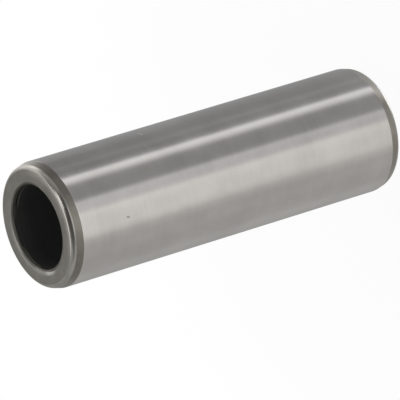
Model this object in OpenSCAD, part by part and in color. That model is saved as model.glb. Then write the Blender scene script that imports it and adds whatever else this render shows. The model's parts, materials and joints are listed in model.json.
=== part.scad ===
// Gudgeon pin: a hollow, ground steel pin that stands on one end
// The origin is on the axis, at the lower end face, with +Z along the pin

/* [Pin] */
// Ground outer diameter
pin_d = 12; // [10:0.1:30]
// Overall length, from end face to end face
pin_length = 37.5; // [10:0.5:120]

/* [Bore] */
// Diameter of the bore that runs from end to end
bore_d = 8; // [3:0.1:10]
// Radius of the broken edge at each mouth of the bore
mouth_radius = 0.25; // [0.1:0.05:1]

/* [Ends] */
// Length of the lead-in cone at each end, along the axis
lead_length = 0.75; // [0.3:0.05:3]
// Slope of the lead-in cone against the axis, in degrees
lead_angle = 14; // [5:1:50]
// Length of the broken edge between the end face and the lead-in cone, along the axis
break_length = 0.35; // [0.1:0.05:1.5]
// Slope of the broken edge against the axis, in degrees
break_angle = 36; // [10:1:60]
// Radius between the end face and the broken edge
edge_radius = 0.5; // [0.05:0.05:1]

/* [Hidden] */
$fn = 180;

pin_r = pin_d / 2;
bore_r = bore_d / 2;
// The rounded mouth of the bore runs into the end face here
mouth_r = bore_r + mouth_radius;

// The broken edge runs into the lead-in cone here
lead_r = pin_r - lead_length * tan(lead_angle);
// The broken edge would meet the end face here if the corner between them were sharp
sharp_r = lead_r - break_length * tan(break_angle);
// The round corner is kept within the length of the broken edge
corner_r = min(edge_radius, 0.95 * break_length / (1 - sin(break_angle)));
// It leaves the end face here, and its centre is straight above
face_r = sharp_r - corner_r * tan(45 - break_angle / 2);
// The foot of the broken edge is tucked this far under the round corner, so that they cross once
tuck = 0.0002;
foot_r = face_r + (corner_r - tuck) * cos(break_angle);
foot_z = corner_r - (corner_r - tuck) * sin(break_angle);

// Quarter of a disc, outwards of its centre and towards the end face
module corner_disc(radius) {
    intersection() {
        circle(r = radius);
        translate([0, -radius])
            square(radius);
    }
}

// The wall of the pin in lengthwise section, from one end face to the middle
module half_wall() {
    polygon([
        [bore_r, mouth_radius],
        [mouth_r, 0],
        [face_r, 0],
        [foot_r, foot_z],
        [lead_r, break_length],
        [pin_r, break_length + lead_length],
        [pin_r, pin_length / 2],
        [bore_r, pin_length / 2]
    ]);
    translate([face_r, corner_r])
        corner_disc(corner_r);
    translate([mouth_r, mouth_radius])
        mirror([1, 0])
            corner_disc(mouth_radius);
}

// Both ends are alike
module wall() {
    half_wall();
    translate([0, pin_length])
        mirror([0, 1])
            half_wall();
}

module gudgeon_pin() {
    color("lightslategray")
        rotate_extrude()
            wall();
}

gudgeon_pin();
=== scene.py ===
import json
import math

import bmesh
import bpy
from mathutils import Matrix, Vector


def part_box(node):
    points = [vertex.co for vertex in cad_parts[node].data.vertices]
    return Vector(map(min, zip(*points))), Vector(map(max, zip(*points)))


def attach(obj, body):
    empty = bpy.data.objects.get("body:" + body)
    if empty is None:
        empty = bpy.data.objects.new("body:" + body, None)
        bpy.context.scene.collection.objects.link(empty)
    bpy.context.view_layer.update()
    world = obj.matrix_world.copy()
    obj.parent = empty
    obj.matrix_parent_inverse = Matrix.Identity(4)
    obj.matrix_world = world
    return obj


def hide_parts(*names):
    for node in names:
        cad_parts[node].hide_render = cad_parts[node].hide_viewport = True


mm = 0.001
white = (1, 1, 1, 1)

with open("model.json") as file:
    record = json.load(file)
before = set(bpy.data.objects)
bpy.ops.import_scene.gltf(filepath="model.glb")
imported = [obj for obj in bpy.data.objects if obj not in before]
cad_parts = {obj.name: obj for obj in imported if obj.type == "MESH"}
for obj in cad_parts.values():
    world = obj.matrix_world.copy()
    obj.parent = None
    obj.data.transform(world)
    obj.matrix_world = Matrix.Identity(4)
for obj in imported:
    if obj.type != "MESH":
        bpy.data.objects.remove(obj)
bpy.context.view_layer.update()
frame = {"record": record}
mounts = {mount["name"]: mount["dims"] for mount in frame["record"]["mounts"]}

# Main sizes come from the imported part
pinLow, pinHigh = (Vector(corner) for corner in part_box("gudgeon_pin"))
pinLength = pinHigh.z - pinLow.z
pinCentre = Vector((0, 0, (pinLow.z + pinHigh.z) / 2))
journalRadius = mounts["journal"]["r_mm"] * mm
journalLength = mounts["journal"]["length_mm"] * mm
boreRadius = mounts["through_bore"]["r_mm"] * mm
boreLength = mounts["through_bore"]["length_mm"] * mm
endLength = (pinLength - journalLength) / 2
mouthRadius = (pinLength - boreLength) / 2
print("frame loaded, pin length", round(pinLength / mm, 2), "mm")


# Sockets of a Mix node that mixes colours
mixFactor, mixFirst, mixSecond, mixResult = 0, 6, 7, 2


# One socket, with operators that add Math nodes
class Wire:
    def __init__(self, tree, socket=None):
        self.tree = tree
        self.socket = socket

    def node(self, kind, settings=None, inputs=None, output=0):
        made = self.tree.nodes.new(kind)
        for name, value in (settings or {}).items():
            setattr(made, name, value)
        for name, value in (inputs or {}).items():
            if isinstance(value, Wire):
                self.tree.links.new(value.socket, made.inputs[name])
            else:
                made.inputs[name].default_value = value
        return Wire(self.tree, made.outputs[output] if made.outputs else None)

    def math(self, operation, *values):
        return self.node("ShaderNodeMath", {"operation": operation}, dict(enumerate(values)))

    def __add__(self, other):
        return self.math("ADD", self, other)

    def __radd__(self, other):
        return self.math("ADD", other, self)

    def __sub__(self, other):
        return self.math("SUBTRACT", self, other)

    def __rsub__(self, other):
        return self.math("SUBTRACT", other, self)

    def __mul__(self, other):
        return self.math("MULTIPLY", self, other)

    def __rmul__(self, other):
        return self.math("MULTIPLY", other, self)

    def __truediv__(self, other):
        return self.math("DIVIDE", self, other)

    def __abs__(self):
        return self.math("ABSOLUTE", self)

    def step(self, start, end):
        # 0 up to start, 1 from end on, smooth between them; start may be above end
        inputs = {"Value": self, "From Min": start, "From Max": end}
        return self.node("ShaderNodeMapRange", {"interpolation_type": "SMOOTHSTEP"}, inputs)

    def window(self, rise, start, end, fall):
        # 0 outside rise and fall, 1 between start and end
        return self.step(rise, start) * self.step(fall, end)

    def mixTo(self, first, second):
        # colour mix, with this wire as the factor
        inputs = {mixFactor: self, mixFirst: first, mixSecond: second}
        return self.node("ShaderNodeMix", {"data_type": "RGBA"}, inputs, mixResult)

    def tinted(self, tint):
        # this colour times another
        settings = {"data_type": "RGBA", "blend_type": "MULTIPLY"}
        inputs = {mixFactor: 1.0, mixFirst: self, mixSecond: tint}
        return self.node("ShaderNodeMix", settings, inputs, mixResult)

    def split(self):
        return [self.node("ShaderNodeSeparateXYZ", None, {0: self}, axis) for axis in range(3)]

    def join(self, x, y, z):
        return self.node("ShaderNodeCombineXYZ", None, {0: x, 1: y, 2: z})

    def vector(self, operation, *values, output=0):
        return self.node("ShaderNodeVectorMath", {"operation": operation}, dict(enumerate(values)), output)

    def along(self, way):
        # how far this place lies along a direction
        return self.vector("DOT_PRODUCT", self, way, output=1)

    def facing(self, side, radius):
        # 1 where a place at this radius lies straight towards a side, -1 where it lies straight away from it
        return self.along(side) / radius

    def dash(self, middle, way, length, width):
        # a soft mark on the surface, of this half length along its way and this half width
        offset = self.vector("SUBTRACT", self, middle)
        along = offset.along(way)
        across = offset.along(offset) - along * along
        core, rim = 0.4, 1.0  # squares of the distances between which it fades out
        return (along * along / length ** 2 + across / width ** 2).step(rim, core)

    def noise(self, detail):
        return self.node("ShaderNodeTexNoise", None, {"Vector": self, "Scale": 1.0, "Detail": detail})

    def grain(self, across, lengthwise):
        # noise with grains of about this size across the axis and along it
        return self.vector("DIVIDE", self, (across, across, lengthwise)).noise(detail=3)

    def relief(self, height):
        # normal of a surface that this wire raises by up to this height
        return self.node("ShaderNodeBump", None, {"Strength": 1.0, "Distance": height, "Height": self})


def newMaterial(name):
    material = bpy.data.materials.new(name)
    material.use_nodes = True
    material.node_tree.nodes.clear()
    return material, Wire(material.node_tree)


def setSurface(start, colour, rough, normal, metallic=1.0):
    shader = start.node("ShaderNodeBsdfPrincipled", None, {
        "Base Color": colour,
        "Metallic": metallic,
        "Roughness": rough,
        "Normal": normal,
    })
    start.node("ShaderNodeOutputMaterial", None, {"Surface": shader})


def endDepth(z):
    # how far a height lies inside the nearer end face
    return pinLength / 2 - abs(z - pinCentre.z)


# The pin as turned: cylinder, lead-in cones, bore and broken edges
pinShape = {
    "sides": 240,
    "leadAngle": math.radians(14),
    "breakLength": 0.35 * mm,  # broken edge between the end face and the lead-in cone
    "breakAngle": math.radians(36),
    "edgeRadius": 0.5 * mm,  # between the end face and the broken edge
    "edgeSteps": 12,
    "mouthSteps": 8,
    "blendEdge": 0.1 * mm,  # where the broken edge meets the lead-in cone
    "blendSteps": 5,
    "softEdge": 0.06 * mm,  # where the lead-in cone meets the ground cylinder
    "softSteps": 5,
    "roundProfile": 0.5,
    "mergeGap": 0.0001 * mm,
}
coneLength = endLength - pinShape["breakLength"]
leadRadius = journalRadius - coneLength * math.tan(pinShape["leadAngle"])
sharpRadius = leadRadius - pinShape["breakLength"] * math.tan(pinShape["breakAngle"])
edgeOffset = pinShape["edgeRadius"] * math.tan(math.pi / 4 - pinShape["breakAngle"] / 2)
faceRadius = sharpRadius - edgeOffset


# Ground and polished outside of the pin
groundFinish = {
    "dark": (0.545, 0.525, 0.497, 1),
    "light": (0.62, 0.597, 0.566, 1),
    "cloudShare": 0.8,  # share of the clouds in the tone; the grinding lines have the rest
    "toneSpan": (0.3, 0.7),
    "mottle": 4 * mm,  # size of the clouds
    "lineLength": 9 * mm,  # grinding lines, round the pin
    "linePitch": 0.12 * mm,
    "lineHeight": 0.0002 * mm,
    "roughness": 0.115,
    "cloudRoughness": 0.06,
    "lineRoughness": 0.05,
    "pitRoughness": 0.25,
    "pitPlace": Vector((-1.54, -5.80, 31.36)) * mm,
    "pitWay": Vector((0.24, -0.06, 0.97)).normalized(),
    "pitLength": 0.22 * mm,
    "pitWidth": 0.13 * mm,
    "pitColour": (0.42, 0.405, 0.375, 1),
    "nickPlace": Vector((5.41, -2.60, 25.50)) * mm,
    "nickWay": Vector((-0.40, -0.86, -0.21)).normalized(),
    "nickLength": 0.42 * mm,
    "nickWidth": 0.1 * mm,
    "nickColour": (0.85, 0.84, 0.82, 1),
}


def groundSteel():
    material, start = newMaterial("ground_steel")
    f = groundFinish
    place = start.node("ShaderNodeTexCoord", output="Object")
    lines = place.grain(f["lineLength"], f["linePitch"])
    cloud = place.grain(f["mottle"], f["mottle"])
    tone = (f["cloudShare"] * cloud + (1 - f["cloudShare"]) * lines).step(*f["toneSpan"])
    colour = tone.mixTo(f["dark"], f["light"])
    # one small pit and one nick
    pit = place.dash(f["pitPlace"], f["pitWay"], f["pitLength"], f["pitWidth"])
    nick = place.dash(f["nickPlace"], f["nickWay"], f["nickLength"], f["nickWidth"])
    colour = nick.mixTo(pit.mixTo(colour, f["pitColour"]), f["nickColour"])
    rough = f["roughness"] + f["cloudRoughness"] * cloud + f["lineRoughness"] * lines
    rough = rough + f["pitRoughness"] * pit
    setSurface(start, colour, rough, lines.relief(f["lineHeight"]))
    return material


# Turned end faces, broken edges and lead-in cones. Bands round the mouth of the bore are in mouth radii: 0 at
# the bore wall, 1 where the mouth meets the end face
turnedFinish = {
    "dark": (0.375, 0.361, 0.328, 1),
    "light": (0.47, 0.453, 0.413, 1),
    "cloudShare": 0.6,  # share of the clouds in the tone; the turning rings have the rest
    "toneSpan": (0.3, 0.7),
    "mottle": 1.5 * mm,  # size of the clouds
    "ringPitch": 0.09 * mm,
    "ringHeight": 0.0008 * mm,
    "roughness": 0.34,
    "cloudRoughness": 0.08,
    "edgeRoughness": 0.21,
    "mouthRoughness": 0.5,
    "faceTint": (0.80, 0.795, 0.785, 1),  # the end faces are duller than the broken edges
    "coneTint": (0.80, 0.78, 0.75, 1),  # and so are the lead-in cones
    "edgeBlend": 0.1 * mm,  # width of the change from the face to the broken edge
    "coneBlend": 0.04 * mm,  # half the width of the change to the cone
    "wearSheenColour": (0.51, 0.49, 0.455, 1),  # worn brighter, with a painted highlight, where the broken edge meets the cone
    "wornOffset": 0.02 * mm,  # from there towards the end face
    "wornFade": (0.11 * mm, 0.05 * mm),
    "wornShare": 0.6,
    "wornClouds": 0.8,
    "rimHighlightColour": (0.50, 0.485, 0.45, 1),  # painted highlight round the rim of the end face, on its lit side
    "rimWidth": 0.5 * mm,
    "rimCore": 0.05 * mm,
    "rimLitSide": Vector((0.34, -0.94, 0)),
    "rimFade": (0.25, 1.0),
    "mouthColour": (0.25, 0.24, 0.215, 1),  # browner mouth
    "mouthBand": (1.1, 0.7),
    "highlightColour": (0.45, 0.435, 0.40, 1),  # painted highlight round it on one side
    "highlightBand": (0.4, 1.0, 1.4, 2.6),
    "highlightSide": Vector((-0.75, 0.66, 0)),
    "highlightFade": (0.3, 0.85),
    "spotColour": (0.80, 0.785, 0.75, 1),  # brightest painted highlight in that band
    "spotPlace": Vector((-4.38 * mm, 0.05 * mm, pinHigh.z)),
    "spotFade": (1.2 * mm, 0.2 * mm),
    "mouthStreakColour": (0.20, 0.19, 0.17, 1),  # darker narrow streak at the mouth, on one side
    "mouthStreakBand": (1.4, 0.6),
    "mouthStreakSide": Vector((-0.64, 0.77, 0)),
    "mouthStreakFade": (0.93, 0.99),
    "innerShadeColour": (0.15, 0.142, 0.122, 1),  # painted shade in the inner part of the mouth
    "innerBand": (0.4, 0.08),
    "sidewaysWider": 0.4,  # it is wider at both sides
    "sidewaysFade": (0.7, 0.95),
    "nearWider": 0.48,  # and wider again on the camera's half
    "nearSidewaysFade": (0.6, 0.85),
    "nearFade": (-0.2, 0.2),
    "openSide": Vector((-0.42, 0.91, 0)),  # it is fainter on this side
    "openFade": (0.6, 0.85),
    "openShare": 0.7,
}


def turnedSteel():
    material, start = newMaterial("turned_steel")
    f = turnedFinish
    place = start.node("ShaderNodeTexCoord", output="Object")
    x, y, z = place.split()
    radius = start.math("SQRT", x * x + y * y)
    depth = endDepth(z)
    rings = start.join(radius / f["ringPitch"], z / f["ringPitch"], x / pinLength).noise(detail=2)
    cloud = place.grain(f["mottle"], f["mottle"])
    tone = (f["cloudShare"] * cloud + (1 - f["cloudShare"]) * rings).step(*f["toneSpan"])
    colour = tone.mixTo(f["dark"], f["light"])
    # end face, broken edge and cone
    breakLength = pinShape["breakLength"]
    cone = depth.step(breakLength - f["coneBlend"], breakLength + f["coneBlend"])
    edge = radius.step(faceRadius, faceRadius + f["edgeBlend"]) * (1 - cone)
    colour = colour.tinted(cone.mixTo(edge.mixTo(f["faceTint"], white), f["coneTint"]))
    # worn and painted highlight along the broken edge; painted highlight at the rim of the face
    wearSheen = abs(depth - (breakLength - f["wornOffset"])).step(*f["wornFade"])
    colour = (wearSheen * (f["wornShare"] + f["wornClouds"] * cloud)).mixTo(colour, f["wearSheenColour"])
    rimStart = faceRadius - f["rimWidth"]
    rim = radius.window(rimStart, faceRadius - f["rimCore"], faceRadius, faceRadius + f["edgeBlend"])
    rimLitSide = place.facing(f["rimLitSide"], radius).step(*f["rimFade"])
    colour = (rim * rimLitSide * (1 - cone)).mixTo(colour, f["rimHighlightColour"])
    # mouth of the bore, with the painted highlight band on one side and its brightest spot
    across = (radius - boreRadius) / mouthRadius
    mouth = across.step(*f["mouthBand"])
    colour = mouth.mixTo(colour, f["mouthColour"])
    band = across.window(*f["highlightBand"])
    highlightSide = place.facing(f["highlightSide"], radius).step(*f["highlightFade"])
    colour = (band * highlightSide).mixTo(colour, f["highlightColour"])
    spot = place.vector("DISTANCE", place, f["spotPlace"], output=1).step(*f["spotFade"])
    colour = (band * spot).mixTo(colour, f["spotColour"])
    # darker streak on one side, and the painted shade in the inner part of the mouth
    mouthStreakSide = place.facing(f["mouthStreakSide"], radius).step(*f["mouthStreakFade"])
    colour = (across.step(*f["mouthStreakBand"]) * mouthStreakSide).mixTo(colour, f["mouthStreakColour"])
    sideways = abs(x / radius)
    near = (0 - y / radius).step(*f["nearFade"]) * sideways.step(*f["nearSidewaysFade"])
    wider = f["sidewaysWider"] * sideways.step(*f["sidewaysFade"]) + f["nearWider"] * near
    inner = (across - wider).step(*f["innerBand"])
    openSide = place.facing(f["openSide"], radius).step(*f["openFade"])
    colour = (inner * (1 - f["openShare"] * openSide)).mixTo(colour, f["innerShadeColour"])
    rough = f["roughness"] + f["cloudRoughness"] * cloud
    rough = rough + (f["edgeRoughness"] - rough) * edge
    rough = rough + (f["mouthRoughness"] - rough) * mouth
    setSurface(start, colour, rough, rings.relief(f["ringHeight"]))
    return material


# Bore wall, coloured near black: painted shade
boreFinish = {
    "dark": (0.088, 0.093, 0.089, 1),
    "light": (0.113, 0.116, 0.110, 1),
    "toneSpan": (0.35, 0.7),
    "ringPitch": 0.2 * mm,
    "ringHeight": 0.002 * mm,
    "roughness": 0.45,
    "ringRoughness": 0.1,
    "metallic": 0.6,
    "deepLightColour": (0.30, 0.313, 0.30, 1),  # painted light further in, making up for the shade deeper in the bore
    "deepFade": (1.5 * mm, 6 * mm),
    "highlightColour": (0.50, 0.485, 0.44, 1),  # painted highlight under the mouth on one side
    "highlightReach": 0.5 * mm,
    "highlightSide": Vector((-0.66, 0.75, 0)),
    "highlightFade": (0.9, 0.98),
    "markSide": Vector((0.87, 0.5, 0)),  # the lighter mouth and the tool marks show on this side
    "mouthColour": (0.27, 0.26, 0.23, 1),
    "mouthReach": 0.55 * mm,  # how far in the lighter mouth fades out
    "mouthFade": (0.65, 0.9),
    "markFade": (0.86, 0.97),
    "markWidth": (0.12 * mm, 0.04 * mm),
    "grooveDepth": 0.45 * mm,  # dark line behind the mouth
    "grooveColour": (0.05, 0.05, 0.047, 1),
    "ringDepth": 0.68 * mm,  # lighter tool mark behind it
    "ringColour": (0.28, 0.275, 0.25, 1),
}


def shadedBore():
    material, start = newMaterial("bore_painted_shade")
    f = boreFinish
    place = start.node("ShaderNodeTexCoord", output="Object")
    depth = endDepth(place.split()[2])
    rings = place.grain(2 * boreRadius, f["ringPitch"])
    # painted shade: the wall is coloured near black
    colour = rings.step(*f["toneSpan"]).mixTo(f["dark"], f["light"])
    colour = depth.step(*f["deepFade"]).mixTo(colour, f["deepLightColour"])
    # painted highlight just inside the mouth on one side
    highlightSide = place.facing(f["highlightSide"], boreRadius).step(*f["highlightFade"])
    boreHighlight = depth.step(f["highlightReach"], mouthRadius) * highlightSide
    colour = boreHighlight.mixTo(colour, f["highlightColour"])
    markSide = place.facing(f["markSide"], boreRadius)
    mouth = depth.step(f["mouthReach"], mouthRadius) * markSide.step(*f["mouthFade"])
    colour = mouth.mixTo(colour, f["mouthColour"])
    marks = markSide.step(*f["markFade"])
    groove = abs(depth - f["grooveDepth"]).step(*f["markWidth"]) * marks
    ring = abs(depth - f["ringDepth"]).step(*f["markWidth"]) * marks
    colour = ring.mixTo(groove.mixTo(colour, f["grooveColour"]), f["ringColour"])
    rough = f["roughness"] + f["ringRoughness"] * rings
    setSurface(start, colour, rough, rings.relief(f["ringHeight"]), f["metallic"])
    return material


def selectFaces(piece, wanted):
    bpy.ops.mesh.select_all(action="DESELECT")
    mesh = bmesh.from_edit_mesh(piece.data)
    for face in mesh.faces:
        if wanted(face):
            face.select_set(True)
    bmesh.update_edit_mesh(piece.data)


def selectRings(piece, radius, heights):
    # edge rings round the axis, of this radius and at these heights
    near = 0.001 * mm
    sag = radius / 100  # an edge's middle lies less than this inside its ring
    bpy.ops.mesh.select_all(action="DESELECT")
    mesh = bmesh.from_edit_mesh(piece.data)
    for edge in mesh.edges:
        first, second = (corner.co for corner in edge.verts)
        middle = (first + second) / 2
        level = abs(first.z - second.z) < near
        onRing = abs(math.hypot(first.x, first.y) - radius) < near
        atHeight = min(abs(middle.z - height) for height in heights) < near
        onArc = abs(math.hypot(middle.x, middle.y) - radius) < sag
        if level and onRing and atHeight and onArc:
            edge.select_set(True)
    bmesh.update_edit_mesh(piece.data)


def drawOut(height, narrow):
    bpy.ops.mesh.extrude_region_move(TRANSFORM_OT_translate={"value": (0, 0, height)})
    bpy.ops.transform.resize(value=(narrow, narrow, 1), center_override=(0, 0, 0))


def roundRings(piece, radius, heights, offset, steps):
    selectRings(piece, radius, heights)
    bpy.ops.mesh.bevel(offset=offset, segments=steps, profile=pinShape["roundProfile"])


def modelPin():
    s = pinShape
    ends = (pinLow.z, pinHigh.z)
    leadEnds = (pinLow.z + s["breakLength"], pinHigh.z - s["breakLength"])
    groundEnds = (pinLow.z + endLength, pinHigh.z - endLength)
    endways = 0.9  # the normal of an end face has at least this much along the axis

    bpy.ops.object.select_all(action="DESELECT")
    bpy.ops.mesh.primitive_cylinder_add(
        vertices=s["sides"], radius=journalRadius, depth=journalLength, location=pinCentre
    )
    piece = bpy.context.object
    piece.name = "turned_pin"
    bpy.ops.object.transform_apply(location=True, rotation=True, scale=True)

    bpy.ops.object.mode_set(mode="EDIT")
    bpy.ops.mesh.select_mode(type="FACE")
    # each end face is drawn out twice and narrowed, for the lead-in cone and the broken edge
    for side in (-1, 1):
        selectFaces(piece, lambda face: face.normal.z * side > endways)
        drawOut(side * coneLength, leadRadius / journalRadius)
        drawOut(side * s["breakLength"], sharpRadius / leadRadius)
    # the end faces are inset to the bore, and the two inner faces joined through the pin
    selectFaces(piece, lambda face: abs(face.normal.z) > endways)
    bpy.ops.mesh.inset(thickness=sharpRadius - boreRadius, use_individual=True)
    bpy.ops.mesh.bridge_edge_loops()
    # round corners, mouths and soft edges
    bpy.ops.mesh.select_mode(type="EDGE")
    roundRings(piece, sharpRadius, ends, edgeOffset, s["edgeSteps"])
    boreRing = min(math.hypot(v.co.x, v.co.y) for v in bmesh.from_edit_mesh(piece.data).verts)
    roundRings(piece, boreRing, ends, mouthRadius, s["mouthSteps"])
    roundRings(piece, journalRadius, groundEnds, s["softEdge"], s["softSteps"])
    roundRings(piece, leadRadius, leadEnds, s["blendEdge"], s["blendSteps"])
    bpy.ops.mesh.select_all(action="SELECT")
    bpy.ops.mesh.remove_doubles(threshold=s["mergeGap"])
    bpy.ops.mesh.normals_make_consistent(inside=False)
    bpy.ops.object.mode_set(mode="OBJECT")

    bpy.ops.object.shade_smooth()
    weigh = piece.modifiers.new("weigh", "WEIGHTED_NORMAL")
    weigh.keep_sharp = True
    bpy.ops.object.modifier_apply(modifier=weigh.name)
    return piece


def finishPin(piece):
    finishes = [groundSteel(), turnedSteel(), shadedBore()]
    for material in finishes:
        piece.data.materials.append(material)
    ground, turned, bore = range(len(finishes))
    groundLow = pinLow.z + endLength
    groundHigh = pinHigh.z - endLength
    for face in piece.data.polygons:
        radius = math.hypot(face.center.x, face.center.y)
        if radius < boreRadius:
            face.material_index = bore
        elif groundLow < face.center.z < groundHigh:
            face.material_index = ground
        else:
            face.material_index = turned


pin = modelPin()
finishPin(pin)
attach(pin, "root")
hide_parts("gudgeon_pin")
print("pin modelled,", len(pin.data.polygons), "faces")


# Camera as in the photograph: a long lens, turned so that the standing pin lies across the picture
cameraSet = {
    "elevation": math.radians(32.335),
    "roll": math.radians(252.881),
    "distance": 541.5 * mm,
    "aimRight": -0.252 * mm,  # where the lens points, from the pin's centre
    "aimUp": -2.157 * mm,
    "sensor": 36,
    "lens": 525.4,
}


def placeCamera():
    c = cameraSet
    forward = Vector((0, math.cos(c["elevation"]), -math.sin(c["elevation"])))
    level = Vector((1, 0, 0))
    upright = level.cross(forward)
    right = level * math.cos(c["roll"]) + upright * math.sin(c["roll"])
    up = upright * math.cos(c["roll"]) - level * math.sin(c["roll"])
    bpy.ops.object.camera_add()
    camera = bpy.context.object
    place = pinCentre + right * c["aimRight"] + up * c["aimUp"] - forward * c["distance"]
    turn = Matrix((right, up, -forward)).transposed().to_4x4()
    camera.matrix_world = Matrix.Translation(place) @ turn
    camera.data.sensor_width = c["sensor"]
    camera.data.lens = c["lens"]
    bpy.context.scene.camera = camera


placeCamera()
print("camera placed")


# Plain white floor, which keeps a soft shadow
floorSet = {
    "size": 6.0,
    "colour": (0.9, 0.9, 0.9, 1),
    "glow": 0.95,  # share of plain white seen by the camera, round the pin
    "reach": 60 * mm,  # plain white alone from here on
}


def layFloor():
    bpy.ops.object.select_all(action="DESELECT")
    bpy.ops.mesh.primitive_plane_add(size=floorSet["size"], location=(0, 0, pinLow.z))
    floor = bpy.context.object
    floor.name = "floor"
    bpy.ops.object.transform_apply(location=True)
    material, start = newMaterial("white_floor")
    seen = start.node("ShaderNodeLightPath", output="Is Camera Ray")
    diffuse = start.node("ShaderNodeBsdfDiffuse", None, {"Color": floorSet["colour"]})
    plain = start.node("ShaderNodeEmission", None, {"Color": white, "Strength": 1.0})
    x, y = start.node("ShaderNodeTexCoord", output="Object").split()[:2]
    away = start.math("SQRT", x * x + y * y).step(journalRadius, floorSet["reach"])
    glow = floorSet["glow"] + (1 - floorSet["glow"]) * away
    mixed = start.node("ShaderNodeMixShader", None, {0: glow * seen, 1: diffuse, 2: plain})
    start.node("ShaderNodeOutputMaterial", None, {"Surface": mixed})
    floor.data.materials.append(material)
    floor.visible_glossy = False  # the steel mirrors the studio round it
    floor.visible_shadow = False


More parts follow.
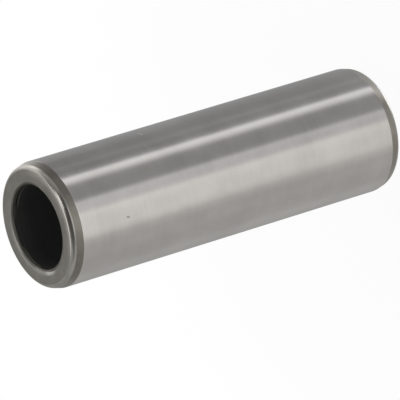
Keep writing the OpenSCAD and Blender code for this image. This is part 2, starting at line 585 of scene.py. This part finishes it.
# Studio that the steel mirrors. Each panel fades in, holds and fades out, in degrees: by its turn round the
# pin, from the camera's side towards +X, and by its height above the horizon
below = (-68, -58, -20, -8)
deep = (-66, -45, -37, -27)
shallow = (-34, -28, -20, -8)
allRound = (-182, -181, 181, 182)
studio = {
    "base": 0.36,
    "coolColour": (0.95, 0.97, 1.036, 1),
    "cool": [  # where a cooler light comes from
        {"turn": (66, 72, 150, 170), "height": below, "share": 0.5},
        {"turn": (-5, 10, 25, 45), "height": below, "share": 0.5},
        {"turn": (48, 56, 72, 76), "height": deep, "share": 0.8},
    ],
    "panels": [
        {"turn": (50.5, 64.5, 70.5, 72.5), "height": below, "level": 0.76},  # strip light
        {"turn": (50, 58, 62, 67), "height": deep, "level": -0.09},  # thinner towards the floor
        {"turn": (66, 70, 74, 79), "height": deep, "level": 0.07},  # softer there on its other side
        {"turn": (67, 74, 83, 91), "height": (-84, -76, -50, -45), "level": 2.4},  # its bright foot
        {"turn": (88, 100, 150, 170), "height": (-62, -56, -43, -37), "level": 0.42},  # pale cloth beside it
        {"turn": allRound, "height": (-92, -91, -72, -62), "level": 0.09},  # paler straight below
        {"turn": (-125, -110, -70, -55), "height": (-66, -60, -50, -44), "level": -0.05},  # dim corner
        {"turn": (-182, -181, -145, -118), "height": (-58, -52, -40, -35), "level": 0.24},  # pale corner
        {"turn": (135, 146, 160, 172), "height": (-80, -74, -62, -57), "level": 2.8},  # light on the floor
        {"turn": (71, 75, 95, 115), "height": below, "level": -0.03},  # dark wall beside the strip light
        {"turn": (71, 75, 95, 115), "height": deep, "level": 0.05},  # paler towards the floor
        {"turn": (88, 93, 98, 104), "height": below, "level": 0.05},  # faint streak on it
        {"turn": (75, 83, 118, 128), "height": shallow, "level": -0.11},  # darker towards its top
        {"turn": (-53, -43, 19, 24), "height": below, "level": 0.40},  # wide card
        {"turn": (-46, -33, -3, 4), "height": below, "level": 0.26},  # its brighter middle
        {"turn": (-46, -33, 10, 20), "height": deep, "level": -0.14},  # duller towards the floor
        {"turn": (2, 8, 21, 25), "height": below, "level": -0.03},  # its dull side
        {"turn": (-12, -2, 22, 27), "height": shallow, "level": 0.19},  # brighter towards its top
        {"turn": (-42, -34, -20, -12), "height": deep, "level": -0.06},  # dull patch on it
        {"turn": (-62, -53, -48, -42), "height": deep, "level": 0.14},  # its soft edge
        {"turn": (-178, -122, -54, -46), "height": below, "level": 0.14},  # pale wall
        {"turn": (-135, -112, -92, -80), "height": below, "level": -0.03},  # dim stripe on it
        {"turn": (-178, -122, -54, -46), "height": deep, "level": 0.06},  # paler towards the floor
        {"turn": (-40, -18, 2, 24), "height": (-18, -8, 20, 26), "level": 0.32},  # front of the table
        {"turn": (-50, -25, 10, 30), "height": (11, 15, 27, 33), "level": 0.45},  # its edge
        {"turn": (-128, -115, -85, -65), "height": (-22, -18, -9, -3), "level": -0.08},  # dim gap on one side
        {"turn": (24, 40, 100, 108), "height": (-17, -9, 14, 22), "level": -0.19},  # darker gap on the other
        {"turn": (-55, -28, 28, 55), "height": (28, 34, 91, 92), "level": -0.07},  # dark behind the camera
        {"turn": allRound, "height": (20, 30, 91, 92), "level": -0.18},  # dim room above
        {"turn": (45, 60, 100, 112), "height": (10, 20, 50, 62), "level": 0.20},  # pale side of the room
        {"turn": (86, 96, 120, 130), "height": (12, 20, 46, 54), "level": 0.15},  # paler middle of it
        {"turn": (-130, -110, -55, -40), "height": (5, 12, 36, 45), "level": 0.18},  # the other pale side
        {"turn": (-172, -160, -100, -75), "height": (22, 30, 62, 74), "level": 0.27},  # pale ceiling
        {"turn": (-172, -160, -138, -125), "height": (2, 9, 28, 36), "level": 0.10},  # pale wall under it
        {"turn": (-168, -155, -110, -95), "height": (48, 54, 76, 82), "level": 0.16},  # paler by the lamp
        {"turn": (62, 84, 140, 156), "height": (64, 70, 78, 83), "level": 2.2},  # bright ceiling by the lamp
        {"turn": (106, 118, 143, 170), "height": (-8, 2, 32, 46), "level": 0.75},  # low side light
        {"turn": (98, 108, 140, 156), "height": (-7, 1, 13, 20), "level": 0.40},  # its brighter foot
        {"turn": (118, 138, 158, 172), "height": (-31.5, -23.5, -12, -3), "level": 0.84},  # its lower half
        {"turn": (112, 130, 172, 182), "height": (36, 42, 50, 57), "level": 0.38},  # pale wall over it
        {"turn": (118, 130, 150, 162), "height": (34, 40, 50, 57), "level": 0.30},  # paler part of that wall
    ],
}


def panelMask(turn, height, panel):
    return turn.window(*panel["turn"]) * height.window(*panel["height"])


def lightStudio():
    world = bpy.data.worlds.new("studio")
    bpy.context.scene.world = world
    world.use_nodes = True
    world.node_tree.nodes.clear()
    start = Wire(world.node_tree)
    x, y, z = start.node("ShaderNodeTexCoord", output="Generated").split()
    turn = start.math("ARCTAN2", x, 0 - y) * math.degrees(1)
    height = start.math("ARCSINE", z) * math.degrees(1)
    level = studio["base"]
    for panel in studio["panels"]:
        level = level + panel["level"] * panelMask(turn, height, panel)
    cool = 0
    for patch in studio["cool"]:
        cool = cool + patch["share"] * panelMask(turn, height, patch)
    colour = cool.mixTo(white, studio["coolColour"])
    mirrored = start.node("ShaderNodeBackground", None, {"Color": colour, "Strength": level})
    plain = start.node("ShaderNodeBackground", None, {"Color": white, "Strength": 1.0})
    seen = start.node("ShaderNodeLightPath", output="Is Camera Ray")
    mixed = start.node("ShaderNodeMixShader", None, {0: seen, 1: mirrored, 2: plain})
    start.node("ShaderNodeOutputWorld", None, {"Surface": mixed})


# Soft lamp high up behind the pin
lampSet = {
    "size": 0.425,
    "place": Vector((0.018, 0.515, 0.857)),
    "power": 0.70,
}


def hangLamp():
    bpy.ops.object.light_add(type="AREA", location=lampSet["place"])
    lamp = bpy.context.object
    lamp.rotation_euler = (pinCentre - lampSet["place"]).to_track_quat("-Z", "Y").to_euler()
    lamp.data.shape = "DISK"
    lamp.data.size = lampSet["size"]
    lamp.data.energy = lampSet["power"]
    lamp.visible_camera = False


layFloor()
lightStudio()
hangLamp()
bpy.context.scene.view_settings.view_transform = "Standard"
print("stage lit")
